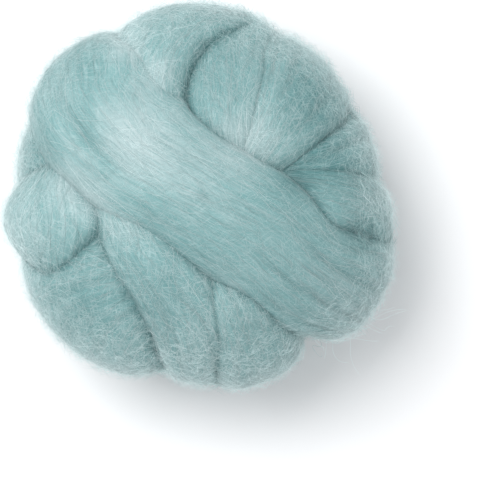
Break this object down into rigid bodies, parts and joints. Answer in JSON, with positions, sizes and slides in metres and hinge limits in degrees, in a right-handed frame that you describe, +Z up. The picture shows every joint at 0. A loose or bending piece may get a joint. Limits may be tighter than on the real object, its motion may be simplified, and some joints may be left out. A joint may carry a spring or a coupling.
{
  "type": "wool roving",
  "caption": "Soft ball of combed wool roving, one loose untwisted sliver wound over itself by hand, teal, resting on a small flat spot",
  "frame": {"origin": "on the table, under the middle of the ball's length and width", "axes": "+Z up; seen from above, +X is the ball's right and its longest side, +Y its top; the broad top turn runs from -X +Y to +X -Y"},
  "size_m": [0.118, 0.1164, 0.0889],
  "materials": {
    "combed_wool": "matt combed wool fibre, pale greyish teal, softly fuzzy"
  },
  "bodies": {
    "root": {"roving_ball": "combed_wool"}
  },
  "joints": []
}
